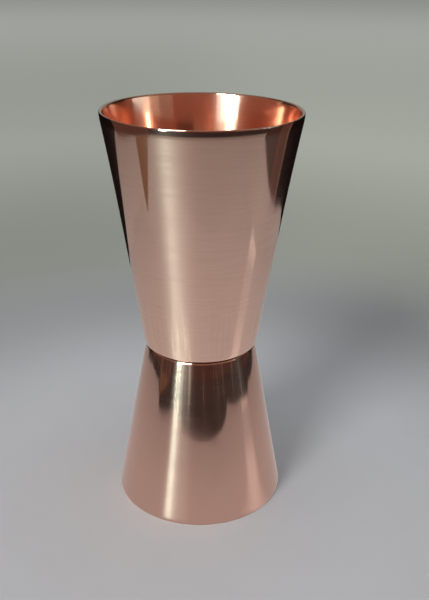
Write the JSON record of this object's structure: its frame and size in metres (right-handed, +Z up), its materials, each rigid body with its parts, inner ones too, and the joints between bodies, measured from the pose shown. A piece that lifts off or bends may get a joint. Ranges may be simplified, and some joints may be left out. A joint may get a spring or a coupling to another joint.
{
  "type": "bar jigger",
  "caption": "Double-ended bar jigger: a large and a small open conical copper cup, brazed floor to floor at a narrow waist, for measuring spirits.",
  "frame": {"origin": "centre of the small cup's rim, in the plane that the jigger stands on", "axes": "+Z up along the common axis of both cups, out through the large cup's mouth; +X and +Y lie in the plane it stands on and are free, because the shape is round"},
  "size_m": [0.048, 0.048, 0.102],
  "materials": {
    "copper_large": "polished copper with fine spin lines around the axis",
    "copper_small": "polished copper with fine spin lines around the axis, brighter at the shoulder",
    "braze": "dull, as melted"
  },
  "bodies": {
    "root": {"large_cup": "copper_large", "small_cup": "copper_small", "braze_joint": "braze"}
  },
  "joints": []
}
